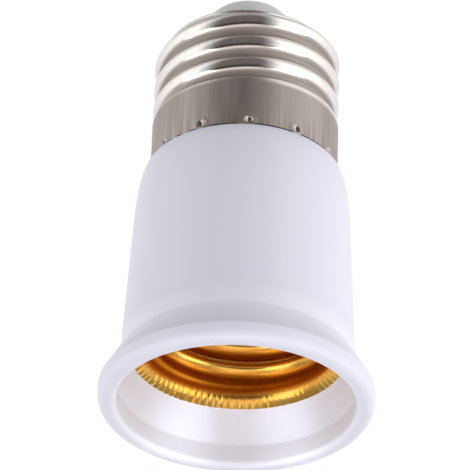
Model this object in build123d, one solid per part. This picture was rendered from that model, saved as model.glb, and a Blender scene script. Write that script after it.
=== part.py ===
from build123d import *
from math import cos, pi, radians, sin, sqrt
import os

# A lamp socket adapter: screw base on top, lamp socket in the bell below.
# The rim stands on z = 0, the axis is Z, and the tip of the base points up.
# Angles around the axis run from the front (-Y) towards +X.

# Rim and bell of the white moulding
rim_d = 38.0
lip_outer_round = 1.4
lip_inner_round = 0.9
mouth_d = 32.8
mouth_wall_h = 2.4
collar_h = 3.1
collar_edge = 0.3
flare_h = 4.25
bell_foot_d = 32.4
bell_head_d = 30.45
bell_h = 20.85
shoulder_h = 9.5
shoulder_fullness = 0.55
land_rim = 0.12

# Floor of the socket and the hollow neck
floor_below_land = 5.25
floor_t = 3.0
socket_bore_clear = 0.2
neck_wall = 2.3
skirt_fit = 0.05
neck_clear = 0.1

# Screw base: rolled sheet, right-hand thread
pitch = 3.629
base_crest_d = 26.4
base_root_d = 24.2
base_sheet = 0.3
skirt_h = 7.4
base_thread_h = 12.85
base_run_in = 1.8
base_run_out = 1.2
base_first_crest = 3.4
base_draw_in = 1.55
roll_round = 0.5
roll_lip_w = 1.85

# Punched dents that stake the base to the neck
dent_count = 12
dent_first_angle = 2.0
dent_ball_r = 0.75
dent_depth = 0.35
dent_above_land = 0.9

# Lamp socket: rolled sheet, right-hand thread
socket_major_d = 26.6
socket_minor_d = 24.4
socket_sheet = 0.3
lip_edge_z = 8.3
lip_spread = 1.4
lip_flare_h = 1.4
lip_seat_gap = 0.1
socket_thread_h = 17.5
socket_plain_h = 0.9
socket_run_in = 1.8
socket_run_out = 1.6
socket_first_ridge = 2.5
ear_w = 6.0

# Rolling leaves the sheet a little thinner in the thread, by this much on each face
rolled_thinning = 0.015
sections_per_pitch = 8
points_per_turn = 16
tangent_step = 0.01

# Rivets and solder tags
rivet_shank_d = 2.2
rivet_head_d = 3.8
rivet_head_h = 0.75
rivet_hole_clear = 0.05
shell_rivet_r = 7.2
leaf_rivet_y = 5.6
tag_t = 0.4
tag_tail_w = 3.0
tag_reach = 3.0
tag_height = 4.0
tag_bend_r = 0.6

# Sprung contact strip
leaf_t = 0.4
leaf_w = 5.0
leaf_pad_past_rivet = 2.6
leaf_bend_before_rivet = 2.4
leaf_bend_r = 1.4
leaf_arm_reach = 4.4
leaf_arm_drop = 3.4
leaf_nose_r = 1.6
leaf_toe_reach = 2.4
leaf_toe_rise = 1.3

# Dome and nail at the tip
dome_flange_h = 2.25
dome_flange_clear = 0.15
dome_flange_gap = 0.05
dome_boss_gap = 0.1
dome_boss_h = 0.5
dome_side_h = 5.5
dome_foot_d = 14.8
dome_bulge = 0.5
dome_crown_d = 10.0
dome_top_d = 8.0
dome_crown_h = 0.35
nail_head_d = 7.2
nail_head_h = 0.9
nail_shank_d = 2.6
nail_fit = 0.05
nail_below_neck = 1.4

# Leads
core_d = 0.9
jacket_d = 2.0
lead_fit = 0.03
core_above_floor = 1.35
solder_above_floor = 2.85
solder_ball_r = 1.15
jacket_above_tag = 0.75
live_straight = 3.6
live_bend_h = 5.6
live_bend_r = 8.0
jacket_below_nail = 0.6
core_in_nail = 6.0
neutral_rise = 3.0
neutral_turn_r = 2.2
neutral_jacket_gap = 0.4
neutral_end_drop = 3.2
neutral_end_r = 0.8
wire_way = 0.12

# Radii that follow from the sizes above
mouth_r = mouth_d / 2
socket_outer_r = socket_major_d / 2 + socket_sheet
socket_bore_r = socket_outer_r + socket_bore_clear
lip_edge_r = socket_outer_r + lip_spread
base_crest_r = base_crest_d / 2
base_root_r = base_root_d / 2
base_end_r = base_crest_r - base_draw_in
roll_opening_r = base_end_r - roll_lip_w
skirt_inner_r = base_crest_r - base_sheet
neck_r = skirt_inner_r - skirt_fit
upper_neck_r = base_root_r - base_sheet - neck_clear
neck_hollow_r = upper_neck_r - neck_wall
dent_centre_r = base_crest_r + dent_ball_r - dent_depth

# Heights that follow from the sizes above, from the rim up
mouth_wall_top = lip_inner_round + mouth_wall_h
flare_top = collar_h + flare_h
shoulder_start = flare_top + bell_h
shell_land_z = shoulder_start + shoulder_h
floor_under = shell_land_z - floor_below_land
floor_top = floor_under + floor_t
socket_thread_low = lip_edge_z + lip_flare_h
socket_thread_high = socket_thread_low + socket_thread_h
socket_front_ridge = socket_thread_low + socket_first_ridge
base_thread_low = shell_land_z + skirt_h
base_thread_high = base_thread_low + base_thread_h
base_front_crest = base_thread_low + base_first_crest
dent_z = shell_land_z + dent_above_land
roll_top = base_thread_high + roll_round
roll_under = roll_top - base_sheet
dome_flange_top = roll_under - dome_flange_gap
neck_top = dome_flange_top - dome_flange_h
dome_boss_top = roll_top + dome_boss_h
dome_crown_z = dome_boss_top + dome_side_h
dome_top_z = dome_crown_z + dome_crown_h
nail_low = neck_top - nail_below_neck

# Places of the small pieces inside
leaf_mid = floor_under - leaf_t / 2
leaf_bend_y = leaf_rivet_y - leaf_bend_before_rivet
leaf_nose_y = leaf_bend_y - leaf_arm_reach
leaf_nose_z = leaf_mid - leaf_arm_drop
tag_mid = floor_top + tag_t / 2
tag_tip = tag_mid + tag_height
core_from_rivet = tag_reach + tag_t / 2 + core_d / 2 + lead_fit
core_low = floor_top + core_above_floor
solder_z = floor_top + solder_above_floor
jacket_low = tag_tip + jacket_above_tag
live_core_y = leaf_rivet_y - core_from_rivet
live_bend_low = jacket_low + live_straight
live_bend_high = live_bend_low + live_bend_h
neutral_core_x = shell_rivet_r - core_from_rivet
neutral_turn_z = jacket_low + neutral_rise
neutral_end_z = neutral_turn_z - neutral_end_drop
pinch_r = skirt_inner_r - core_d / 2 - lead_fit


def turned(outline):
    """Solid of revolution from a closed outline of (radius, height) curves."""
    return revolve(Plane.XZ * make_face(outline), Axis.Z)


def upright(radius, low, high):
    """Cylinder on the Z axis between two heights."""
    standing = (Align.CENTER, Align.CENTER, Align.MIN)
    return Pos(0, 0, low) * Cylinder(radius, high - low, align=standing)


def around(radius, angle, z):
    """Point at an angle from the front, at a radius and height."""
    turn = radians(angle)
    return (radius * sin(turn), -radius * cos(turn), z)


def ease(t):
    """Smooth step from 0 to 1."""
    t = min(1.0, max(0.0, t))
    return t * t * (3 - 2 * t)


def thread_dip(turns, depth):
    """Depth below the crest of a thread whose crests and roots are equal arcs."""
    arc_r = depth / 4 + pitch ** 2 / (16 * depth)
    part = turns % 1.0
    along = pitch * min(part, 1 - part)
    if along <= pitch / 4:
        return arc_r - sqrt(arc_r ** 2 - along ** 2)
    return depth - arc_r + sqrt(arc_r ** 2 - (pitch / 2 - along) ** 2)


def base_radius(turn, z):
    """Outer radius of the screw base: skirt below, thread, drawn-in end at the top."""
    depth = base_crest_r - base_root_r
    turns = (z - base_front_crest) / pitch - turn / (2 * pi)
    run_in = ease((z - base_thread_low) / base_run_in)
    run_out = ease((base_thread_high - z) / base_run_out)
    closing = (base_crest_r - base_end_r) * (1 - run_out)
    return base_crest_r - thread_dip(turns, depth) * run_in * run_out - closing


def socket_radius(turn, z):
    """Inner radius of the socket: wide lead-in below, thread, minor radius above."""
    depth = (socket_major_d - socket_minor_d) / 2
    turns = (z - socket_front_ridge) / pitch - turn / (2 * pi)
    run_in = ease((z - socket_thread_low - socket_plain_h) / socket_run_in)
    run_out = ease((socket_thread_high - z) / socket_run_out)
    ridge = depth - thread_dip(turns, depth)
    narrowing = ridge * run_in * run_out + depth * (1 - run_out)
    return socket_major_d / 2 - narrowing


def level_section(radius_at, offset, z):
    """Closed smooth curve at one height of a threaded wall, starting at the front."""
    ring = []
    for i in range(points_per_turn):
        turn = 2 * pi * i / points_per_turn
        r = radius_at(turn, z) + offset
        ring.append(Vector(r * sin(turn), -r * cos(turn), z))
    shares = [i / points_per_turn for i in range(points_per_turn + 1)]
    swelling = (radius_at(tangent_step, z) - radius_at(-tangent_step, z)) / (2 * tangent_step)
    leaving = Vector(radius_at(0, z) + offset, -swelling, 0) * (2 * pi)
    closed = Edge.make_spline([*ring, ring[0]], [leaving, leaving], parameters=shares, scale=False)
    return Wire([closed])


def threaded_core(radius_at, offset, low, high):
    """Solid inside a threaded wall, lofted through level sections."""
    count = round((high - low) * sections_per_pitch / pitch)
    levels = []
    for k in range(count + 1):
        z = low + (high - low) * k / count
        levels.append(level_section(radius_at, offset, z))
    return Solid.make_loft(levels)


def threaded_wall(radius_at, outside, inside, low, high):
    """Rolled sheet between two offsets of a threaded radius."""
    return threaded_core(radius_at, outside, low, high) - threaded_core(radius_at, inside, low, high)


def dent_balls(radius):
    """One ball per punched dent."""
    balls = []
    for k in range(dent_count):
        angle = dent_first_angle + 360 / dent_count * k
        balls.append(Pos(*around(dent_centre_r, angle, dent_z)) * Sphere(radius))
    return balls


def strip(path, width, thickness, across):
    """Flat strip swept along a path, its width along the direction across."""
    start = Plane(origin=path @ 0, x_dir=across, z_dir=path % 0)
    return sweep(start * Rectangle(width, thickness), path=path)


def tube(path, outer_d, bore_d=0.0):
    """Round wire or sleeve swept along a path."""
    start = Plane(origin=path @ 0, z_dir=path % 0)
    solid = sweep(start * Circle(outer_d / 2), path=path)
    if bore_d:
        solid -= sweep(start * Circle(bore_d / 2), path=path)
    return solid


def live_route(low, high):
    """Live lead: up from the tag, then over to the axis."""
    points = [(0, live_core_y, low), (0, live_core_y, live_bend_low), (0, 0, live_bend_high), (0, 0, high)]
    return FilletPolyline(*points, radius=live_bend_r)


def neutral_route(low, *end):
    """Neutral lead: up from the tag, then out through the neck wall."""
    points = [(neutral_core_x, 0, low), (neutral_core_x, 0, neutral_turn_z), *end]
    radii = [neutral_turn_r, neutral_end_r][:len(points) - 2]
    return FilletPolyline(*points, radius=radii)


def make_housing():
    rim_r = rim_d / 2
    foot_r = bell_foot_d / 2
    head_r = bell_head_d / 2
    land_r = base_crest_r + land_rim
    seat_low = lip_edge_z + lip_seat_gap
    seat_high = socket_thread_low + lip_seat_gap
    # The taper of the bell sets how the shoulder leaves it
    taper = (foot_r - head_r) / (shoulder_start - flare_top)
    rise = (shell_land_z - shoulder_start) * shoulder_fullness
    inset = (head_r - land_r) * shoulder_fullness
    outside = [
        Line((mouth_r + lip_inner_round, 0), (rim_r - lip_outer_round, 0)),
        RadiusArc((rim_r - lip_outer_round, 0), (rim_r, lip_outer_round), -lip_outer_round),
        Line((rim_r, lip_outer_round), (rim_r, collar_h - collar_edge)),
        Line((rim_r, collar_h - collar_edge), (rim_r - collar_edge, collar_h)),
        Line((rim_r - collar_edge, collar_h), (foot_r, flare_top)),
        Line((foot_r, flare_top), (head_r, shoulder_start)),
        Bezier((head_r, shoulder_start), (head_r - taper * rise, shoulder_start + rise),
               (land_r + inset, shell_land_z), (land_r, shell_land_z)),
    ]
    neck_step = base_thread_low + base_run_in / 2
    neck = Polyline((land_r, shell_land_z), (neck_r, shell_land_z), (neck_r, base_thread_low),
                    (upper_neck_r, neck_step), (upper_neck_r, neck_top), (neck_hollow_r, neck_top),
                    (neck_hollow_r, floor_top), (0, floor_top), (0, floor_under),
                    (socket_bore_r, floor_under), (socket_bore_r, seat_high),
                    (lip_edge_r + lip_seat_gap, seat_low), (mouth_r, mouth_wall_top),
                    (mouth_r, lip_inner_round))
    lip = RadiusArc((mouth_r, lip_inner_round), (mouth_r + lip_inner_round, 0), -lip_inner_round)
    body = turned([*outside, neck, lip])
    for pocket in dent_balls(dent_ball_r + base_sheet + skirt_fit):
        body -= pocket
    hole_r = rivet_shank_d / 2 + rivet_hole_clear
    for x, y in rivet_places():
        body -= Pos(x, y, 0) * upright(hole_r, floor_under - floor_t, floor_top + floor_t)
    # Way for the neutral lead through the neck wall, and the groove where its end is pinched
    way_d = core_d + 2 * wire_way
    groove_low = neutral_end_z - wire_way
    body -= Pos(pinch_r, 0, neutral_turn_z) * Rot(0, -90, 0) * upright(way_d / 2, 0, pinch_r)
    groove_in = pinch_r - way_d / 2
    groove_h = neutral_turn_z + way_d / 2 - groove_low
    outwards = (Align.MIN, Align.CENTER, Align.MIN)
    groove = Box(neck_r - groove_in + neck_wall, way_d, groove_h, align=outwards)
    body -= Pos(groove_in, 0, groove_low) * groove
    return body


def make_screw_shell():
    face_out = -rolled_thinning
    face_in = rolled_thinning - base_sheet
    shell = threaded_wall(base_radius, face_out, face_in, base_thread_low, base_thread_high)
    skirt = upright(base_crest_r, shell_land_z, base_thread_low)
    skirt -= upright(skirt_inner_r, shell_land_z, base_thread_low)
    # Each dent pushes the sheet inwards
    inside = upright(skirt_inner_r + base_sheet / 2, shell_land_z, base_thread_low)
    for bulge in dent_balls(dent_ball_r + base_sheet):
        skirt += bulge & inside
    for hollow in dent_balls(dent_ball_r):
        skirt -= hollow
    end_in = base_end_r - base_sheet
    bend_r = base_end_r - roll_round
    rolled = turned([
        Line((end_in, base_thread_high), (base_end_r, base_thread_high)),
        RadiusArc((base_end_r, base_thread_high), (bend_r, roll_top), -roll_round),
        Polyline((bend_r, roll_top), (roll_opening_r, roll_top),
                 (roll_opening_r, roll_under), (bend_r, roll_under)),
        RadiusArc((bend_r, roll_under), (end_in, base_thread_high), roll_round - base_sheet),
    ])
    return shell + skirt + rolled


def make_socket_shell():
    major_r = socket_major_d / 2
    minor_r = socket_minor_d / 2
    face_in = rolled_thinning
    face_out = socket_sheet - rolled_thinning
    shell = threaded_wall(socket_radius, face_out, face_in, socket_thread_low, socket_thread_high)
    slope = (lip_edge_r - socket_outer_r) / (socket_thread_low - lip_edge_z)
    inner_shift = socket_sheet * sqrt(1 + slope ** 2)
    lip = turned([Polyline((major_r, socket_thread_low), (socket_outer_r, socket_thread_low),
                           (lip_edge_r, lip_edge_z), (lip_edge_r - inner_shift, lip_edge_z), close=True)])
    end_wall = upright(minor_r + socket_sheet, socket_thread_high, floor_under)
    end_wall -= upright(minor_r, socket_thread_high, floor_under)
    shell = shell + lip + end_wall
    # Two ears turned in under the floor take the rivets
    ear_end = shell_rivet_r - rivet_head_d / 2 - socket_sheet
    ears = Box(2 * (minor_r + socket_sheet / 2), ear_w, socket_sheet)
    ears -= Box(2 * ear_end, ear_w, socket_sheet)
    shell += Pos(0, 0, floor_under - socket_sheet / 2) * ears
    hole_r = rivet_shank_d / 2 + rivet_hole_clear
    for x, y in shell_rivet_places():
        shell -= Pos(x, y, 0) * upright(hole_r, floor_under - 2 * socket_sheet, floor_under)
    return shell


def shell_rivet_places():
    return [(shell_rivet_r, 0), (-shell_rivet_r, 0)]


def rivet_places():
    return [*shell_rivet_places(), (0, leaf_rivet_y)]


def make_rivet(x, y, low, high):
    """Round-headed rivet that grips from one height to another."""
    head_r = rivet_head_d / 2
    dome_r = (head_r ** 2 + rivet_head_h ** 2) / (2 * rivet_head_h)
    cap = Pos(0, 0, rivet_head_h - dome_r) * Sphere(dome_r) & upright(head_r, 0, rivet_head_h)
    rivet = upright(rivet_shank_d / 2, low, high)
    rivet += Pos(0, 0, high) * cap
    rivet += Pos(0, 0, low) * Rot(180, 0, 0) * cap
    return Pos(x, y, 0) * rivet


def make_tag():
    """Ring with an upright tail towards -X, on the floor at its own rivet."""
    tail_path = FilletPolyline((0, 0, tag_mid), (-tag_reach, 0, tag_mid), (-tag_reach, 0, tag_tip),
                               radius=tag_bend_r)
    tag = upright(rivet_head_d / 2, floor_top, floor_top + tag_t)
    tag += strip(tail_path, tag_tail_w, tag_t, (0, 1, 0))
    return tag - upright(rivet_shank_d / 2 + rivet_hole_clear, floor_top, floor_top + tag_t)


def make_leaf():
    pad_end = (0, leaf_rivet_y + leaf_pad_past_rivet, leaf_mid)
    root = (0, leaf_bend_y, leaf_mid)
    nose = (0, leaf_nose_y, leaf_nose_z)
    toe = (0, leaf_nose_y - leaf_toe_reach, leaf_nose_z + leaf_toe_rise)
    path = FilletPolyline(pad_end, root, nose, toe, radius=[leaf_bend_r, leaf_nose_r])
    leaf = strip(path, leaf_w, leaf_t, (1, 0, 0))
    hole_r = rivet_shank_d / 2 + rivet_hole_clear
    return leaf - Pos(0, leaf_rivet_y, 0) * upright(hole_r, floor_under - 2 * leaf_t, floor_under)


def make_dome():
    # The flange fits inside the thread's roots and under the flat of the roll
    flange_room = min(base_root_r - base_sheet, base_end_r - roll_round)
    flange_r = flange_room - dome_flange_clear
    boss_r = roll_opening_r - dome_boss_gap
    foot_r = dome_foot_d / 2
    crown_r = dome_crown_d / 2
    middle = ((foot_r + crown_r) / 2 + dome_bulge, (dome_boss_top + dome_crown_z) / 2 + dome_bulge)
    dome = turned([
        Polyline((0, dome_top_z), (0, neck_top), (flange_r, neck_top), (flange_r, dome_flange_top),
                 (boss_r, dome_flange_top), (boss_r, dome_boss_top), (foot_r, dome_boss_top)),
        ThreePointArc((foot_r, dome_boss_top), middle, (crown_r, dome_crown_z)),
        Polyline((crown_r, dome_crown_z), (dome_top_d / 2, dome_top_z), (0, dome_top_z)),
    ])
    return dome - upright(nail_shank_d / 2 + nail_fit, neck_top, dome_top_z)


def make_nail():
    head_r = nail_head_d / 2
    dome_r = (head_r ** 2 + nail_head_h ** 2) / (2 * nail_head_h)
    head = Pos(0, 0, dome_top_z + nail_head_h - dome_r) * Sphere(dome_r)
    head &= upright(head_r, dome_top_z, dome_top_z + nail_head_h)
    nail = head + upright(nail_shank_d / 2, nail_low, dome_top_z)
    return nail - upright(core_d / 2 + lead_fit, nail_low, nail_low + core_in_nail + lead_fit)


def make_solder():
    """Solder that holds a bare core to the tail of its tag, placed as the tag is."""
    tail_face = -tag_reach - tag_t / 2
    bead = Pos(tail_face, 0, solder_z) * Sphere(solder_ball_r)
    bead_d = solder_ball_r * 2
    clear_side = Box(bead_d, bead_d, bead_d, align=(Align.MAX, Align.CENTER, Align.CENTER))
    bead &= Pos(tail_face - lead_fit, 0, solder_z) * clear_side
    core = upright(core_d / 2 + lead_fit, solder_z - solder_ball_r, solder_z + solder_ball_r)
    return bead - Pos(tail_face - lead_fit - core_d / 2, 0, 0) * core


parts = {}
parts["housing"] = make_housing()
parts["screw_shell"] = make_screw_shell()
parts["socket_shell"] = make_socket_shell()
parts["tip_insulator"] = make_dome()
parts["tip_contact"] = make_nail()
parts["centre_leaf"] = make_leaf()

ear_under = floor_under - socket_sheet
tag_top = floor_top + tag_t
neutral_rivet, plain_rivet = shell_rivet_places()
parts["shell_rivets"] = Compound(children=[
    make_rivet(*neutral_rivet, ear_under, tag_top),
    make_rivet(*plain_rivet, ear_under, floor_top),
])
parts["leaf_rivet"] = make_rivet(0, leaf_rivet_y, floor_under - leaf_t, tag_top)
neutral_place = Pos(*neutral_rivet, 0)
live_place = Pos(0, leaf_rivet_y, 0) * Rot(0, 0, 90)
parts["neutral_tag"] = neutral_place * make_tag()
parts["live_tag"] = live_place * make_tag()
parts["solder_joints"] = Compound(children=[neutral_place * make_solder(), live_place * make_solder()])

sleeve_bore = core_d + 2 * lead_fit
neutral_out = (pinch_r, 0, neutral_turn_z)
neutral_end = (pinch_r, 0, neutral_end_z)
neutral_sleeve_end = (neck_hollow_r - neutral_jacket_gap, 0, neutral_turn_z)
parts["live_core"] = tube(live_route(core_low, nail_low + core_in_nail), core_d)
parts["live_jacket"] = tube(live_route(jacket_low, nail_low - jacket_below_nail), jacket_d, sleeve_bore)
parts["neutral_core"] = tube(neutral_route(core_low, neutral_out, neutral_end), core_d)
parts["neutral_jacket"] = tube(neutral_route(jacket_low, neutral_sleeve_end), jacket_d, sleeve_bore)

os.makedirs("parts", exist_ok=True)
for name, solid in parts.items():
    export_step(solid, f"parts/{name}.step")
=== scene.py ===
from math import atan2, cos, hypot, pi, radians, sin, sqrt, tan

import bmesh
import bpy
from mathutils import Matrix, Vector, noise


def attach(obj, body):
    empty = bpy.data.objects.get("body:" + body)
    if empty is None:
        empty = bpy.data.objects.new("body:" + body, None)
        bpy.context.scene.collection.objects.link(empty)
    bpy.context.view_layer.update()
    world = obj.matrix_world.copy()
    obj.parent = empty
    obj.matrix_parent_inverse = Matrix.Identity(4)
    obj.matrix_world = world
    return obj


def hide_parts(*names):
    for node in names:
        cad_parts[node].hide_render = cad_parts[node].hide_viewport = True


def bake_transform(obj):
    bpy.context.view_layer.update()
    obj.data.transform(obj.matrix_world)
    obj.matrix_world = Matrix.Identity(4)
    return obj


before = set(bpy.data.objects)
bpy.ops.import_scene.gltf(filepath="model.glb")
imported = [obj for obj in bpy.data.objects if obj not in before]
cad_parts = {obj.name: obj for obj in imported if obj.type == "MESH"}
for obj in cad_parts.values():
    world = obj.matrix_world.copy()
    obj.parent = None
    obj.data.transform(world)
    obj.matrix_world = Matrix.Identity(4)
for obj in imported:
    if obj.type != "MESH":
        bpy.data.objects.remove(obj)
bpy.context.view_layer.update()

mm = 0.001

# Sizes of the adapter in millimetres, with the rim on z = 0 and the axis on Z
pitch = 3.629
sheet = 0.3
hair = 0.01

# White moulding
rim_r = 19.0
mouth_r = 16.4
mouth_top = 3.3
collar_top = 2.59
flare_top_r = 16.2
flare_top = 7.35
bell_taper = 0.975
bell_length = 20.85
bell_steps = 6
shell_land = 37.7
shoulder_land_r = 13.32
shoulder_corners = [
    (15.225, 28.2), (14.981, 33.425), (14.368, shell_land), (shoulder_land_r, shell_land),
]
shoulder_steps = 18
skirt_seat_r = 12.85
neck_r = 11.7
neck_low = 46.0
neck_top = 55.85
neck_bore_r = 9.4
floor_top = 35.45
floor_under = 32.45
well_r = 13.8
well_low = 9.8
well_mouth_r = 15.1
well_mouth = 8.4
# Reach of the painted light that whitens the inside of the mouth
painted_light_r = 17.4
painted_light_top = 9.0

# Screw base
base_crest_r = 13.2
base_root_r = 12.1
base_thread_low = 45.1
base_thread_high = 57.95
base_front_crest = 48.5
base_crest_share = 0.69
base_run_in = 1.8
base_run_out = 1.2
base_row = 0.1
base_end_r = 11.65
roll_round = 0.5
roll_top = base_thread_high + roll_round
roll_mid_r = 10.6
roll_edge_r = 9.9
skirt_edge_row = 0.15
skirt_first_row = 0.35
skirt_row = 0.45
skirt_edge_gap = 0.17
skirt_edge_waver = 0.06
skirt_wavers = 900
dent_count = 12
dent_first_angle = 2.0
dent_ball_r = 0.75
dent_depth = 0.35
dent_height = shell_land + 0.9
dent_reach = 1.5
dent_zone = 2.0
dent_edge_width = 0.4
dent_edge_rise = 0.045
bruise_margin = 0.1
bruise_fade = 0.25

# Shares of the thread's depth where its dull root, also painted darker as shade, starts and is full
root_from = 0.24
root_to = 0.84

# Heights where the plating goes from rolled to dull, and where the draw lines start and are full
rolled_low = 46.0
dull_top = 44.9
drawn_top = 42.5
drawn_full = 38.2

# Lamp socket
socket_major_r = 13.3
socket_minor_r = 12.2
socket_thread_low = 9.7
socket_thread_high = 27.2
socket_front_ridge = 12.2
socket_crest_share = 0.5
socket_plain = 0.9
socket_run_in = 1.8
socket_run_out = 1.6
socket_row = 0.28
socket_end_rows = (29.0, 31.0, floor_under - sheet)
# Shares of the ridge's height where the painted highlight on the socket's ridges starts and is full
ridge_bright_from = 0.2
ridge_bright_to = 0.6
lip_edge_r = 14.95
lip_edge_low = 8.32
lip_flare_top = 11.2
lip_row = 0.2
# Heights where the painted highlight on the flared lip starts and is full
lip_bright_top = 10.4
lip_bright_full = 8.62
lip_pleat_top = 10.2
lip_pleats = 88
lip_pleat_depth = 0.3
pleat_wander = 2.2
pleat_wanders = 5
pleat_even = 0.65
pleat_uneven = 0.7
pleat_changes = 11
pleat_least = 0.3
pleat_fade_from = 0.5
pleat_fade = 0.9
ear_half_width = 3.0
ear_rows = (11.2, 8.0, 5.0)

# Dome and nail
dome_flange_r = 11.0
dome_flange_top = 58.1
dome_boss_r = 9.7
dome_boss_top = 58.95
dome_low_r = 7.4
dome_crown_r = 5.0
dome_crown = 64.45
dome_bulge = 0.5
dome_steps = 12
dome_tip_r = 4.0
dome_top = 64.8
tip_top = 65.7
nail_r = 1.3
nail_low = 54.45
nail_head_r = 3.6
nail_cap = 0.9
nail_cap_steps = 8
dimple_r = 1.4
dimple_depth = 0.25

# Contact strip, its side view as (y, z) points
strip_half_width = 2.5
strip_sheet = 0.4
strip_edge_round = 0.07
strip_mid = floor_under - strip_sheet / 2
strip_pad = [(y, strip_mid) for y in (8.2, 7.0, 5.6, 4.2)]
strip_root = (3.2, strip_mid)
strip_arm = [(2.0, strip_mid - 0.927), (0.6, strip_mid - 2.009)]
strip_nose = (-1.2, strip_mid - 3.4)
strip_toe = (-3.6, strip_mid - 2.1)
strip_root_round = 1.4
strip_nose_round = 1.6


# Working on pieces

def leave_edit_mode():
    if bpy.context.mode != "OBJECT":
        bpy.ops.object.mode_set(mode="OBJECT")


def pick_up(piece):
    """Makes one piece the only selected and active one."""
    leave_edit_mode()
    bpy.ops.object.select_all(action="DESELECT")
    piece.select_set(True)
    bpy.context.view_layer.objects.active = piece


def work_on(piece, kind):
    """Opens a piece in edit mode with nothing selected, and hands back its mesh."""
    pick_up(piece)
    bpy.ops.object.mode_set(mode="EDIT")
    bpy.ops.mesh.select_mode(type=kind)
    bpy.ops.mesh.select_all(action="DESELECT")
    return bmesh.from_edit_mesh(piece.data)


def put_down(piece):
    leave_edit_mode()
    piece.data.update()
    return piece


def draw_outline(name, points):
    """Chain of edges through (x, y, z) points in millimetres, pulled out of one corner."""
    leave_edit_mode()
    bpy.ops.object.select_all(action="DESELECT")
    bpy.ops.mesh.primitive_plane_add(size=mm)
    piece = bpy.context.object
    piece.name = name
    piece.data.name = name
    bpy.ops.object.mode_set(mode="EDIT")
    bpy.ops.mesh.select_mode(type="VERT")
    bpy.ops.mesh.select_all(action="SELECT")
    bpy.ops.mesh.merge(type="CENTER")
    start = Vector(points[0]) * mm
    bpy.ops.transform.translate(value=start)
    for here, there in zip(points, points[1:]):
        step = (Vector(there) - Vector(here)) * mm
        bpy.ops.mesh.extrude_vertices_move(TRANSFORM_OT_translate={"value": step})
    return piece


def turn_on_lathe(name, outline, steps, close=False):
    """Turns a (radius, height) outline round the axis."""
    weld = 0.002 * mm
    points = [(r, 0, z) for r, z in outline]
    if close:
        points.append(points[0])
    piece = draw_outline(name, points)
    bpy.ops.mesh.select_all(action="SELECT")
    bpy.ops.mesh.spin(steps=steps, angle=2 * pi, center=(0, 0, 0), axis=(0, 0, 1),
                      use_auto_merge=True)
    bpy.ops.mesh.select_all(action="SELECT")
    bpy.ops.mesh.remove_doubles(threshold=weld)
    bpy.ops.mesh.normals_make_consistent(inside=False)
    return put_down(piece)


def round_rings(piece, rings):
    """Rounds ring edges, each given as (radius, height, width of the round, segments)."""
    near = 0.02 * mm
    for radius, height, width, segments in rings:
        mesh = work_on(piece, "EDGE")
        for edge in mesh.edges:
            on_ring = [abs(hypot(v.co.x, v.co.y) - radius * mm) < near
                       and abs(v.co.z - height * mm) < near for v in edge.verts]
            if all(on_ring):
                edge.select_set(True)
        bmesh.update_edit_mesh(piece.data)
        bpy.ops.mesh.bevel(offset=width * mm, offset_type="OFFSET", segments=segments,
                           profile=0.5, affect="EDGES")
    return put_down(piece)


def shade(piece, angle):
    """Smooths the shading over edges that turn less than an angle in degrees."""
    pick_up(piece)
    bpy.ops.object.shade_smooth_by_angle(angle=radians(angle))
    return piece


def use_modifier(piece, kind, **settings):
    """Adds a modifier, sets it and applies it."""
    pick_up(piece)
    modifier = piece.modifiers.new(kind.title(), kind)
    for key, value in settings.items():
        setattr(modifier, key, value)
    bpy.ops.object.modifier_apply(modifier=modifier.name)
    return piece


def point_values(piece, name):
    """A new value on each point of a mesh, 0 until it is set."""
    return piece.data.attributes.new(name, "FLOAT", "POINT").data


# Thread forms

def ease(t):
    """Smooth step that stays 0 below 0 and 1 above 1."""
    t = min(1.0, max(0.0, t))
    return t * t * (3 - 2 * t)


def thread_dip(turns, depth, crest_share):
    """Depth below the crest of a rolled thread, whose crest arc runs into its root arc."""
    flank = 2 * atan2(depth, pitch / 2)
    both_arcs = pitch / 2 / sin(flank)
    crest_arc = crest_share * both_arcs
    root_arc = both_arcs - crest_arc
    part = turns % 1.0
    along = pitch * min(part, 1 - part)
    if along <= crest_arc * sin(flank):
        return crest_arc - sqrt(crest_arc ** 2 - along ** 2)
    return depth - root_arc + sqrt(root_arc ** 2 - (pitch / 2 - along) ** 2)


def base_dip(turn, z):
    """Depth of the base's thread below its crest, fading out at both ends."""
    turns = (z - base_front_crest) / pitch - turn / (2 * pi)
    run_in = ease((z - base_thread_low) / base_run_in)
    run_out = ease((base_thread_high - z) / base_run_out)
    return thread_dip(turns, base_crest_r - base_root_r, base_crest_share) * run_in * run_out


def base_radius(turn, z):
    """Radius of the base's thread, closing in to the rolled end."""
    closed = 1 - ease((base_thread_high - z) / base_run_out)
    return base_crest_r - base_dip(turn, z) - (base_crest_r - base_end_r) * closed


def socket_ridge(turn, z):
    """Height of the socket's thread above its root, fading out at both ends."""
    depth = socket_major_r - socket_minor_r
    turns = (z - socket_front_ridge) / pitch - turn / (2 * pi)
    run_in = ease((z - socket_thread_low - socket_plain) / socket_run_in)
    run_out = ease((socket_thread_high - z) / socket_run_out)
    return (depth - thread_dip(turns, depth, socket_crest_share)) * run_in * run_out


def socket_radius(turn, z):
    """Radius of the socket's thread, closing in to its plain end."""
    closed = 1 - ease((socket_thread_high - z) / socket_run_out)
    return socket_major_r - socket_ridge(turn, z) - (socket_major_r - socket_minor_r) * closed


def turn_of(point):
    """Angle of a point from the front towards +X."""
    return atan2(point.x, -point.y)


def set_radius(vertex, radius):
    now = hypot(vertex.co.x, vertex.co.y)
    vertex.co.x *= radius / now
    vertex.co.y *= radius / now


def steps_between(low, high, step):
    """Even steps of about the given size, with both ends."""
    count = max(1, round((high - low) / step))
    return [low + (high - low) * k / count for k in range(count + 1)]


# White moulding: rim, collar, flare, bell, shoulder, floor and neck

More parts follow.
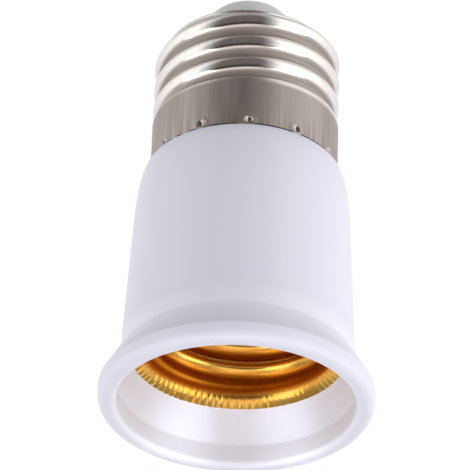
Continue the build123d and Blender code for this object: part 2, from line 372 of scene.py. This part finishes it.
def shoulder_points():
    """The shoulder's curve from the bell up to the land under the shell."""
    points = []
    for k in range(shoulder_steps + 1):
        t = k / shoulder_steps
        weights = ((1 - t) ** 3, 3 * t * (1 - t) ** 2, 3 * t * t * (1 - t), t ** 3)
        r = sum(w * c[0] for w, c in zip(weights, shoulder_corners))
        z = sum(w * c[1] for w, c in zip(weights, shoulder_corners))
        points.append((r, z))
    return points


def make_moulding():
    bell = [(flare_top_r - bell_taper * k / bell_steps, flare_top + bell_length * k / bell_steps)
            for k in range(bell_steps)]
    outline = [
        (mouth_r, 0), (rim_r, 0), (rim_r, collar_top), *bell, *shoulder_points(),
        (skirt_seat_r, shell_land), (skirt_seat_r, base_thread_low), (neck_r, neck_low),
        (neck_r, neck_top), (neck_bore_r, neck_top), (neck_bore_r, floor_top), (0, floor_top),
        (0, floor_under), (well_r, floor_under), (well_r, well_low), (well_mouth_r, well_mouth),
        (mouth_r, mouth_top),
    ]
    moulding = turn_on_lathe("moulding", outline, steps=160, close=True)
    round_rings(moulding, [
        (rim_r, 0, 1.4, 9), (mouth_r, 0, 0.9, 7), (rim_r, collar_top, 0.16, 3),
        (flare_top_r, flare_top, 0.22, 3), (shoulder_land_r, shell_land, 0.1, 2),
        (mouth_r, mouth_top, 0.12, 3), (well_mouth_r, well_mouth, 0.08, 2),
    ])
    # Where the finish paints light on the inside of the mouth
    inside = point_values(moulding, "inside")
    for v in moulding.data.vertices:
        if v.co.z < painted_light_top * mm:
            inside[v.index].value = ease(painted_light_r - hypot(v.co.x, v.co.y) / mm)
    return shade(moulding, 30)


# Screw base

def make_base_shell():
    rows = [shell_land, shell_land + skirt_edge_row]
    rows += steps_between(shell_land + skirt_first_row, base_thread_low, skirt_row)
    rows += steps_between(base_thread_low, base_thread_high, base_row)[1:-1]
    bend_r = base_end_r - roll_round
    roll = [(bend_r + roll_round * cos(a), base_thread_high + roll_round * sin(a))
            for a in (radians(15 * k) for k in range(7))]
    outline = [(base_crest_r, z) for z in rows]
    outline += [*roll, (roll_mid_r, roll_top), (roll_edge_r, roll_top)]
    shell = turn_on_lathe("base_shell", outline, steps=192)
    # How deep in the thread's root each point lies, where the finish makes it dull and paints it
    # darker as shade
    root = point_values(shell, "root")
    for v in shell.data.vertices:
        z = v.co.z / mm
        if base_thread_low < z < base_thread_high - hair:
            turn = turn_of(v.co)
            share = base_dip(turn, z) / (base_crest_r - base_root_r)
            root[v.index].value = ease((share - root_from) / (root_to - root_from))
            set_radius(v, base_radius(turn, z) * mm)
    # The cut edge of the skirt isn't quite even
    for v in shell.data.vertices:
        if v.co.z < (shell_land + skirt_edge_row / 2) * mm:
            v.co.z += (skirt_edge_gap + skirt_edge_waver * noise.noise(v.co * skirt_wavers)) * mm
    punch_dents(shell)
    use_modifier(shell, "SOLIDIFY", thickness=sheet * mm, offset=-1)
    return shade(shell, 50)


def punch_dents(shell):
    """Twelve round dents that stake the skirt to the neck, each with a raised edge."""
    ball_r = base_crest_r + dent_ball_r - dent_depth
    opening = sqrt(dent_ball_r ** 2 - (dent_ball_r - dent_depth) ** 2)
    places = [radians(dent_first_angle + 360 / dent_count * k) for k in range(dent_count)]
    mesh = work_on(shell, "FACE")
    for face in mesh.faces:
        centre = face.calc_center_median()
        for place in places:
            if off_dent(centre, place) < dent_reach:
                face.select_set(True)
    bmesh.update_edit_mesh(shell.data)
    bpy.ops.mesh.subdivide(number_cuts=4)
    put_down(shell)
    punched = point_values(shell, "punched")
    for v in shell.data.vertices:
        if v.co.z > (dent_height + dent_zone) * mm:
            continue
        for place in places:
            off = off_dent(v.co, place)
            bruise = ease((opening + bruise_margin - off) / bruise_fade)
            punched[v.index].value = max(punched[v.index].value, bruise)
            if off < opening:
                set_radius(v, (ball_r - sqrt(dent_ball_r ** 2 - off ** 2)) * mm)
            elif off < opening + dent_edge_width:
                swell = sin(pi * (off - opening) / dent_edge_width)
                set_radius(v, (base_crest_r + dent_edge_rise * swell) * mm)


def off_dent(point, place):
    """Distance over the skirt's surface from a dent's middle, in millimetres."""
    round_it = (turn_of(point) - place + pi) % (2 * pi) - pi
    return hypot(round_it * base_crest_r, point.z / mm - dent_height)


# Lamp socket

def make_socket():
    rows = steps_between(lip_edge_low, lip_flare_top, lip_row)
    rows += steps_between(lip_flare_top, socket_thread_high, socket_row)[1:]
    outline = [(socket_major_r, z) for z in rows]
    outline += [(socket_minor_r, z) for z in socket_end_rows]
    socket = turn_on_lathe("socket", outline, steps=576)
    # Marks the rolled ridges and flared lip, which the finish makes smoother and paints with a
    # highlight, leaving the roots deep in painted shade
    burnish_and_highlight = point_values(socket, "burnish_and_highlight")
    for v in socket.data.vertices:
        z = v.co.z / mm
        turn = turn_of(v.co)
        share = socket_ridge(turn, z) / (socket_major_r - socket_minor_r)
        on_ridge = ease((share - ridge_bright_from) / (ridge_bright_to - ridge_bright_from))
        on_lip = ease((lip_bright_top - z) / (lip_bright_top - lip_bright_full))
        burnish_and_highlight[v.index].value = max(on_ridge, on_lip)
        if z < socket_thread_high + hair:
            set_radius(v, (socket_radius(turn, z) + lip_flare(z)) * mm)
        pleat_lip(v)
    # The wall's inside was drawn, so its faces look at the axis before it gets its thickness
    work_on(socket, "FACE")
    bpy.ops.mesh.select_all(action="SELECT")
    bpy.ops.mesh.normals_make_consistent(inside=True)
    put_down(socket)
    add_ears(socket)
    use_modifier(socket, "SOLIDIFY", thickness=sheet * mm, offset=-1)
    return shade(socket, 50)


def lip_flare(z):
    """How far the trumpet-shaped lip stands out from the socket's wall."""
    left = max(0.0, (lip_flare_top - z) / (lip_flare_top - lip_edge_low))
    return (lip_edge_r - socket_major_r) * left ** 3


def pleat_lip(v):
    """Flaring the lip left short uneven pleats across its edge, fainter towards +X."""
    reach = ease((lip_pleat_top - v.co.z / mm) / (lip_pleat_top - lip_edge_low))
    if reach <= 0:
        return
    turn = turn_of(v.co)
    place = Vector((sin(turn), cos(turn), 0))
    other_place = place * pleat_changes + Vector((0, 0, 4))
    wander = pleat_wander * noise.noise(place * pleat_wanders)
    pleat = (1 - abs(sin(lip_pleats / 2 * turn + wander))) ** 2
    pleat *= pleat_even + pleat_uneven * noise.noise(other_place)
    pleat *= pleat_least + (1 - pleat_least) * ease((pleat_fade_from - sin(turn)) / pleat_fade)
    set_radius(v, hypot(v.co.x, v.co.y) - lip_pleat_depth * reach * pleat * mm)


def add_ears(socket):
    """Two ears turned in under the floor, for the rivets."""
    top = (socket_end_rows[-1] - hair) * mm
    for side in (1, -1):
        mesh = work_on(socket, "EDGE")
        for edge in mesh.edges:
            at_top = all(v.co.z > top for v in edge.verts)
            on_side = all(v.co.x * side > 0 and abs(v.co.y) < ear_half_width * mm
                          for v in edge.verts)
            if at_top and on_side and edge.is_boundary:
                edge.select_set(True)
        bmesh.update_edit_mesh(socket.data)
        for row in ear_rows:
            bpy.ops.mesh.extrude_edges_move()
            mesh = bmesh.from_edit_mesh(socket.data)
            for v in mesh.verts:
                if v.select:
                    v.co.x = side * row * mm
            bmesh.update_edit_mesh(socket.data)
        put_down(socket)


# Dome and nail at the tip

def make_dome():
    crown = []
    for k in range(dome_steps + 1):
        t = k / dome_steps
        bulge = dome_bulge * sin(pi * t)
        crown.append((dome_low_r - (dome_low_r - dome_crown_r) * t + bulge,
                      dome_boss_top + (dome_crown - dome_boss_top) * t + bulge))
    outline = [(0, neck_top), (dome_flange_r, neck_top), (dome_flange_r, dome_flange_top),
               (dome_boss_r, dome_flange_top), (dome_boss_r, dome_boss_top), *crown,
               (dome_tip_r, dome_top), (0, dome_top)]
    dome = turn_on_lathe("dome", outline, steps=120)
    round_rings(dome, [(dome_crown_r, dome_crown, 0.25, 3), (dome_tip_r, dome_top, 0.2, 3),
                       (dome_boss_r, dome_boss_top, 0.2, 3)])
    return shade(dome, 40)


def make_nail():
    """Tubular nail, its domed head dimpled where the tube was closed."""
    ball_r = (nail_head_r ** 2 + nail_cap ** 2) / (2 * nail_cap)
    cap = []
    for k in range(nail_cap_steps + 1):
        r = nail_head_r * (1 - k / nail_cap_steps)
        cap.append((r, tip_top - ball_r + sqrt(ball_r ** 2 - r ** 2)))
    outline = [(0, nail_low), (nail_r, nail_low), (nail_r, dome_top), (nail_head_r, dome_top), *cap]
    nail = turn_on_lathe("nail", outline, steps=72)
    for v in nail.data.vertices:
        off = hypot(v.co.x, v.co.y) / mm
        if v.co.z > (dome_top + nail_cap / 2) * mm and off < dimple_r:
            v.co.z -= dimple_depth * ease(1 - off / dimple_r) * mm
    round_rings(nail, [(nail_head_r, dome_top, 0.1, 2)])
    return shade(nail, 40)


# Sprung contact strip

def make_strip():
    """Strip under the floor: pad, root bend, arm, rounded nose and raised toe."""
    line = [*strip_pad, *bend(strip_pad[0], strip_root, strip_nose, strip_root_round, 6),
            *strip_arm, *bend(strip_root, strip_nose, strip_toe, strip_nose_round, 8), strip_toe]
    strip = draw_outline("contact_strip", [(-strip_half_width, y, z) for y, z in line])
    columns = 4
    column = (2 * strip_half_width / columns * mm, 0, 0)
    bpy.ops.mesh.select_all(action="SELECT")
    for k in range(columns):
        bpy.ops.mesh.extrude_edges_move(TRANSFORM_OT_translate={"value": column})
    bpy.ops.mesh.select_all(action="SELECT")
    bpy.ops.mesh.normals_make_consistent(inside=False)
    put_down(strip)
    use_modifier(strip, "SOLIDIFY", thickness=strip_sheet * mm, offset=0)
    use_modifier(strip, "BEVEL", width=strip_edge_round * mm, segments=2,
                 limit_method="ANGLE", angle_limit=radians(50))
    return shade(strip, 40)


def bend(before, corner, after, radius, count):
    """Points of a round bend at a corner between two straight runs."""
    a = (Vector(before) - Vector(corner)).normalized()
    b = (Vector(after) - Vector(corner)).normalized()
    half_angle = a.angle(b) / 2
    reach = radius / tan(half_angle)
    middle = Vector(corner) + (a + b).normalized() * (radius / sin(half_angle))
    start = Vector(corner) + a * reach
    end = Vector(corner) + b * reach
    points = []
    for k in range(count + 1):
        mix = start.lerp(end, k / count) - middle
        points.append(tuple(middle + mix.normalized() * radius))
    return points


# Nodes of finishes and light

def place_node(tree, kind, inputs=None, **settings):
    """Adds a node, sets it, and links or sets its inputs."""
    node = tree.nodes.new(kind)
    for key, value in settings.items():
        setattr(node, key, value)
    for key, value in (inputs or {}).items():
        if hasattr(value, "is_output"):
            tree.links.new(value, node.inputs[key])
        else:
            node.inputs[key].default_value = value
    return node


def cloud(tree, scale, detail=2.0, roughness=0.5):
    """Noise over the piece, its scale in waves per metre along X, Y and Z."""
    where = place_node(tree, "ShaderNodeTexCoord").outputs["Object"]
    place = place_node(tree, "ShaderNodeMapping", {"Vector": where, "Scale": scale})
    noise_node = place_node(tree, "ShaderNodeTexNoise", {
        "Vector": place.outputs["Vector"], "Scale": 1.0, "Detail": detail, "Roughness": roughness,
    })
    return noise_node.outputs["Fac"]


def mark(tree, name):
    """A value that was left on the mesh's points."""
    return place_node(tree, "ShaderNodeAttribute", attribute_name=name).outputs["Fac"]


def ramp(tree, factor, stops):
    """Colour ramp with (position, colour) stops."""
    node = place_node(tree, "ShaderNodeValToRGB", {"Fac": factor})
    while len(node.color_ramp.elements) < len(stops):
        node.color_ramp.elements.new(0.5)
    for element, (position, colour) in zip(node.color_ramp.elements, stops):
        element.position = position
        element.color = (*colour, 1)
    return node.outputs["Color"]


def fade(tree, value, start, end, low=0.0, high=1.0, kind="LINEAR"):
    """Runs from low to high while a value goes from start to end."""
    node = place_node(tree, "ShaderNodeMapRange", {
        "Value": value, "From Min": start, "From Max": end, "To Min": low, "To Max": high,
    }, interpolation_type=kind)
    return node.outputs["Result"]


def spread(tree, factor, low, high):
    """Noise stretched to a range of values."""
    return fade(tree, factor, 0.3, 0.7, low, high)


def mix_colours(tree, factor, first, second, blend="MIX"):
    node = place_node(tree, "ShaderNodeMix", {0: factor, 6: first, 7: second},
                      data_type="RGBA", blend_type=blend)
    return node.outputs[2]


def mix_values(tree, factor, first, second):
    node = place_node(tree, "ShaderNodeMix", {0: factor, 2: first, 3: second}, data_type="FLOAT")
    return node.outputs[0]


def sums(tree, operation, *values):
    node = place_node(tree, "ShaderNodeMath", dict(enumerate(values)), operation=operation)
    return node.outputs["Value"]


def vector_sums(tree, operation, *values):
    node = place_node(tree, "ShaderNodeVectorMath", dict(enumerate(values)), operation=operation)
    return node.outputs["Value" if operation == "DOT_PRODUCT" else "Vector"]


def part_of(tree, vector, axis):
    return place_node(tree, "ShaderNodeSeparateXYZ", {"Vector": vector}).outputs[axis]


def choose_shader(tree, factor, first, second, output):
    """Shows the second shader where a factor is 1, and else the first."""
    mix = place_node(tree, "ShaderNodeMixShader", {0: factor, 1: first, 2: second})
    tree.links.new(mix.outputs["Shader"], tree.nodes[output].inputs["Surface"])


# Finishes

def new_finish(name, colour, metallic, roughness):
    """Material with a principled shader, and its node tree and shader."""
    material = bpy.data.materials.new(name)
    material.use_nodes = True
    tree = material.node_tree
    shader = tree.nodes["Principled BSDF"]
    shader.inputs["Base Color"].default_value = (*colour, 1)
    shader.inputs["Metallic"].default_value = metallic
    shader.inputs["Roughness"].default_value = roughness
    return material, tree, shader


def coat(tree, shader, tint, gloss):
    tree.links.new(tint, shader.inputs["Base Color"])
    tree.links.new(gloss, shader.inputs["Roughness"])


def relief(tree, shader, height, depth):
    """Bump of a depth in millimetres."""
    bump = place_node(tree, "ShaderNodeBump",
                      {"Height": height, "Strength": 1.0, "Distance": depth * mm})
    tree.links.new(bump.outputs["Normal"], shader.inputs["Normal"])


def white_moulded_finish():
    """Satin white moulding, whiter inside the mouth with painted light for the light that comes
    through the thin plastic.
    """
    material, tree, shader = new_finish("white_moulded", (0.80, 0.81, 0.88), 0, 0.3)
    outside = ramp(tree, cloud(tree, (60, 60, 40), detail=1),
                   [(0.3, (0.78, 0.79, 0.90)), (0.7, (0.795, 0.804, 0.91))])
    # Painted light: a lighter, bluer colour inside the mouth for light that comes through the thin
    # plastic
    tint = mix_colours(tree, mark(tree, "inside"), outside, (0.90, 0.91, 1.0, 1))
    coat(tree, shader, tint, spread(tree, cloud(tree, (140, 140, 90), detail=1), 0.31, 0.33))
    relief(tree, shader, cloud(tree, (2600, 2600, 2600)), depth=0.0015)
    shader.inputs["Subsurface Weight"].default_value = 0.04
    shader.inputs["Subsurface Radius"].default_value = (0.9, 0.9, 1.0)
    shader.inputs["Subsurface Scale"].default_value = 0.002
    return material


def nickel_finish():
    """Nickel over drawn sheet: dull skirt with draw lines along the axis, and a thread that
    the rolling polished, dull in its roots, where a darker colour is painted shade."""
    material, tree, shader = new_finish("nickel_plate", (0.72, 0.67, 0.635), 1, 0.2)
    where = place_node(tree, "ShaderNodeTexCoord")
    height = part_of(tree, where.outputs["Object"], "Z")
    skirt = fade(tree, height, rolled_low * mm, dull_top * mm, kind="SMOOTHSTEP")
    foot = fade(tree, height, drawn_top * mm, drawn_full * mm, kind="SMOOTHSTEP")
    root = mark(tree, "root")
    dent = mark(tree, "punched")
    lines = cloud(tree, (2600, 2600, 45), detail=3, roughness=0.55)
    ticks = cloud(tree, (3400, 3400, 420))
    streaks = cloud(tree, (330, 330, 14))
    drawn = ramp(tree, lines, [(0.38, (0.46, 0.408, 0.378)), (0.62, (0.36, 0.312, 0.287))])
    plain = ramp(tree, streaks, [(0.35, (0.37, 0.324, 0.30)), (0.65, (0.44, 0.392, 0.364))])
    dull = mix_colours(tree, foot, plain, drawn)
    rolled = ramp(tree, ticks, [(0.5, (0.82, 0.785, 0.75)), (0.75, (0.75, 0.705, 0.665))])
    # Painted shade: the thread's roots get a darker colour, besides their rougher finish
    thread = mix_colours(tree, root, rolled, (0.47, 0.415, 0.375, 1))
    unpunched = mix_colours(tree, skirt, thread, dull)
    tint = mix_colours(tree, dent, unpunched, (0.42, 0.38, 0.36, 1))
    thread_gloss = mix_values(tree, root, spread(tree, ticks, 0.1, 0.14), 0.65)
    unpunched_gloss = mix_values(tree, skirt, thread_gloss, spread(tree, lines, 0.48, 0.58))
    coat(tree, shader, tint, mix_values(tree, dent, unpunched_gloss, 0.1))
    drawn_marks = sums(tree, "MULTIPLY", lines, foot)
    on_thread = sums(tree, "SUBTRACT", 1.0, skirt)
    relief(tree, shader, sums(tree, "MULTIPLY_ADD", ticks, on_thread, drawn_marks), depth=0.004)
    return material


def brass_finish(name, colour, worn):
    material, tree, shader = new_finish(name, colour, 1, 0.22)
    patches = cloud(tree, (260, 260, 180), detail=4, roughness=0.6)
    lines = cloud(tree, (2600, 2600, 120), detail=3, roughness=0.6)
    tint = ramp(tree, patches, [(0.3, worn), (0.62, colour)])
    coat(tree, shader, tint, spread(tree, lines, 0.16, 0.3))
    relief(tree, shader, lines, depth=0.008)
    return material


def socket_brass_finish():
    """Brass sheet, soft in the roots with a deep colour that is painted shade, and smoother where
    it was rolled and flared, with a bright colour there that is a painted highlight.
    """
    material, tree, shader = new_finish("brass_sheet", (0.9, 0.4, 0.04), 1, 0.25)
    burnish_and_highlight = mark(tree, "burnish_and_highlight")
    patches = cloud(tree, (260, 260, 180), detail=3, roughness=0.6)
    lines = cloud(tree, (2600, 2600, 120), detail=3, roughness=0.6)
    # Painted shade: a deep colour in the roots; painted highlight: a bright colour on the ridges
    # and lip
    deep = ramp(tree, patches, [(0.3, (0.66, 0.21, 0.012)), (0.65, (0.76, 0.27, 0.02))])
    bright = ramp(tree, patches, [(0.3, (0.97, 0.52, 0.085)), (0.65, (1.0, 0.60, 0.13))])
    soft = spread(tree, lines, 0.3, 0.4)
    shiny = spread(tree, lines, 0.14, 0.24)
    coat(tree, shader, mix_colours(tree, burnish_and_highlight, deep, bright),
         mix_values(tree, burnish_and_highlight, soft, shiny))
    relief(tree, shader, lines, depth=0.008)
    return material


def pale_insulator_finish():
    material, tree, shader = new_finish("pale_insulator", (0.73, 0.76, 0.77), 0, 0.35)
    haze = cloud(tree, (200, 200, 200), detail=3)
    tint = ramp(tree, haze, [(0.3, (0.70, 0.73, 0.74)), (0.7, (0.77, 0.795, 0.80))])
    coat(tree, shader, tint, spread(tree, haze, 0.3, 0.42))
    relief(tree, shader, cloud(tree, (2200, 2200, 2200)), depth=0.006)
    return material


def tinned_finish(name, colour, dull):
    material, tree, shader = new_finish(name, colour, 1, 0.3)
    flow = cloud(tree, (700, 700, 700), detail=4, roughness=0.6)
    tint = ramp(tree, flow, [(0.32, dull), (0.66, colour)])
    coat(tree, shader, tint, spread(tree, flow, 0.22, 0.42))
    relief(tree, shader, flow, depth=0.02)
    return material


def jacket_finish(name, colour, pale):
    material, tree, shader = new_finish(name, colour, 0, 0.45)
    marks = cloud(tree, (900, 900, 500), detail=3)
    tint = ramp(tree, marks, [(0.3, colour), (0.75, pale)])
    coat(tree, shader, tint, spread(tree, marks, 0.38, 0.52))
    relief(tree, shader, marks, depth=0.01)
    return material


def give(piece, material):
    piece.data.materials.clear()
    piece.data.materials.append(material)


# Building the adapter

white_moulded = white_moulded_finish()
nickel_plate = nickel_finish()
brass_sheet = socket_brass_finish()
spring_bronze = brass_finish("spring_bronze", (0.80, 0.50, 0.24), (0.68, 0.38, 0.17))
rivet_brass = brass_finish("rivet_brass", (0.83, 0.60, 0.26), (0.72, 0.48, 0.2))
copper_wire = brass_finish("copper_wire", (0.80, 0.42, 0.25), (0.7, 0.34, 0.19))
pale_insulator = pale_insulator_finish()
tinned_brass = tinned_finish("tinned_brass", (0.76, 0.75, 0.71), (0.66, 0.64, 0.6))
solder = tinned_finish("solder", (0.72, 0.72, 0.73), (0.6, 0.6, 0.6))
brown_jacket = jacket_finish("brown_jacket", (0.2, 0.09, 0.045), (0.27, 0.13, 0.07))
blue_jacket = jacket_finish("blue_jacket", (0.06, 0.15, 0.42), (0.1, 0.2, 0.48))

dressed = [
    (make_moulding(), "housing", "white_plastic", white_moulded),
    (make_base_shell(), "screw_shell", "nickel_plate", nickel_plate),
    (make_socket(), "socket_shell", "brass_sheet", brass_sheet),
    (make_dome(), "tip_insulator", "pale_insulator", pale_insulator),
    (make_nail(), "tip_contact", "tinned_brass", tinned_brass),
]
for piece, node, slot, material in dressed:
    give(piece, material)
    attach(piece, "adapter")
    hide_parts(node)

strip = make_strip()
give(strip, spring_bronze)
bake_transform(strip)
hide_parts("centre_leaf")

kept_nodes = {
    "shell_rivets": rivet_brass, "leaf_rivet": rivet_brass,
    "live_tag": tinned_brass, "neutral_tag": tinned_brass,
    "live_core": copper_wire, "neutral_core": copper_wire,
    "live_jacket": brown_jacket, "neutral_jacket": blue_jacket,
    "solder_joints": solder,
}
for node, material in kept_nodes.items():
    give(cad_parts[node], material)


# Stage, light and camera, with places in metres

def make_floor():
    """Pale floor that is seen from above only, so the photograph's low camera looks past it."""
    bpy.ops.object.select_all(action="DESELECT")
    bpy.ops.mesh.primitive_plane_add(size=4)
    floor = bpy.context.object
    floor.name = "floor"
    material, tree, shader = new_finish("pale_floor", (0.9, 0.9, 0.9), 0, 0.6)
    underside = place_node(tree, "ShaderNodeNewGeometry").outputs["Backfacing"]
    clear = place_node(tree, "ShaderNodeBsdfTransparent").outputs["BSDF"]
    choose_shader(tree, underside, shader.outputs["BSDF"], clear, "Material Output")
    floor.data.materials.append(material)
    floor.visible_shadow = False
    floor.visible_diffuse = False
    floor.visible_glossy = False


def hang_lamp(name, place, target, width, height, watts):
    """Oblong lamp at a place, aimed at a target."""
    lamp = bpy.data.lights.new(name, "AREA")
    lamp.shape = "RECTANGLE"
    lamp.size = width
    lamp.size_y = height
    lamp.energy = watts
    box = bpy.data.objects.new(name, lamp)
    box.location = place
    box.rotation_euler = (place - target).to_track_quat("Z", "Y").to_euler()
    bpy.context.scene.collection.objects.link(box)
    return box


def softbox(name, azimuth, elevation, width, height, watts):
    """Soft light at an angle from the front towards +X, aimed at the adapter's middle."""
    distance = 0.7
    turn = radians(azimuth)
    rise = radians(elevation)
    middle = Vector((0, 0, 0.03))
    away = Vector((sin(turn) * cos(rise), -cos(turn) * cos(rise), sin(rise)))
    return hang_lamp(name, middle + away * distance, middle, width, height, watts)


def hang_lamps():
    softbox("left_softbox", azimuth=-62, elevation=-40, width=0.42, height=0.4, watts=0.7)
    softbox("right_softbox", azimuth=60, elevation=-36, width=0.44, height=0.42, watts=0.85)
    # Fill from below the front, which the metals don't show
    fill = softbox("low_fill", azimuth=0, elevation=-60, width=0.5, height=0.4, watts=1.5)
    fill.visible_glossy = False
    # Two small lamps under the mouth, which brighten its far wall
    for side in (-1, 1):
        place = Vector((side * 0.009, -0.012, -0.03))
        target = Vector((side * 0.0072, 0.014, 0.0055))
        glow = hang_lamp("mouth_lamp", place, target, width=0.004, height=0.004, watts=0.0001)
        glow.data.color = (0.88, 0.94, 1.0)
        glow.data.spread = radians(18)
        glow.visible_camera = False
        glow.visible_glossy = False


def shades(colour, levels):
    """Ramp stops of one colour at (position, level) steps."""
    return [(position, tuple(level * part for part in colour)) for position, level in levels]


def hang_tent():
    """White tent round the sides and back, with a dark opening at the front. The camera itself
    sees plain white behind the adapter."""
    cloth = (1.0, 1.0, 1.0)
    warm_room = (1.06, 0.93, 0.91)
    dark_side = radians(-8)
    world = bpy.data.worlds.new("studio")
    bpy.context.scene.world = world
    world.use_nodes = True
    tree = world.node_tree
    where = place_node(tree, "ShaderNodeTexCoord").outputs["Generated"]
    heading = vector_sums(tree, "NORMALIZE", vector_sums(tree, "MULTIPLY", where, (1, 1, 0)))
    forward = vector_sums(tree, "DOT_PRODUCT", heading, (sin(dark_side), -cos(dark_side), 0))
    # From straight down to straight up, and from the back to the front
    rise = fade(tree, part_of(tree, where, "Z"), -1.0, 1.0)
    round_it = fade(tree, forward, -1.0, 1.0)
    walls = ramp(tree, rise, shades(cloth, [
        (0.0, 0.3), (0.07, 0.25), (0.15, 0.27), (0.22, 0.4), (0.3, 0.8), (0.4, 1.0), (0.8, 1.0),
        (0.9, 0.75), (1.0, 0.35),
    ]))
    sides = ramp(tree, round_it, shades(cloth, [
        (0.0, 0.62), (0.25, 0.75), (0.5, 0.92), (0.65, 1.0), (1.0, 1.0),
    ]))
    opening = ramp(tree, rise, shades(warm_room, [
        (0.0, 0.66), (0.067, 0.64), (0.128, 0.58), (0.165, 0.25), (0.206, 0.02), (0.265, 0.02),
        (0.33, 0.06), (0.43, 0.095), (0.5, 0.105), (0.93, 0.11), (1.0, 0.2),
    ]))
    left_dim = fade(tree, part_of(tree, heading, "X"), -1.0, 0.4, low=0.84)
    all_round = mix_colours(tree, 1.0, walls, sides, blend="MULTIPLY")
    tent = mix_colours(tree, 1.0, all_round, left_dim, blend="MULTIPLY")
    aside = fade(tree, forward, 0.93, 0.6, kind="SMOOTHSTEP")
    surroundings = tree.nodes["Background"]
    tree.links.new(mix_colours(tree, aside, opening, tent), surroundings.inputs["Color"])
    surroundings.inputs["Strength"].default_value = 1.46
    seen = place_node(tree, "ShaderNodeBackground", {"Color": (1, 1, 1, 1), "Strength": 1.0})
    ray = place_node(tree, "ShaderNodeLightPath")
    choose_shader(tree, ray.outputs["Is Camera Ray"], surroundings.outputs["Background"],
                  seen.outputs["Background"], "World Output")


def place_camera():
    """Low front view from 32 degrees below, with the photograph's slight lean."""
    distance = 0.6
    below = radians(31.9)
    lean = Matrix.Rotation(radians(2.0), 4, "Z")
    aim = Vector((-0.00095, 0, 0.02785))
    away = Vector((0, -cos(below), -sin(below)))
    lens = bpy.data.cameras.new("photo_camera")
    lens.lens = 328.3
    lens.sensor_width = 36
    camera = bpy.data.objects.new("photo_camera", lens)
    upright = away.to_track_quat("Z", "Y").to_matrix().to_4x4()
    camera.matrix_world = Matrix.Translation(aim + away * distance) @ upright @ lean
    bpy.context.scene.collection.objects.link(camera)
    bpy.context.scene.camera = camera


make_floor()
hang_lamps()
hang_tent()
place_camera()
bpy.context.scene.view_settings.view_transform = "Standard"
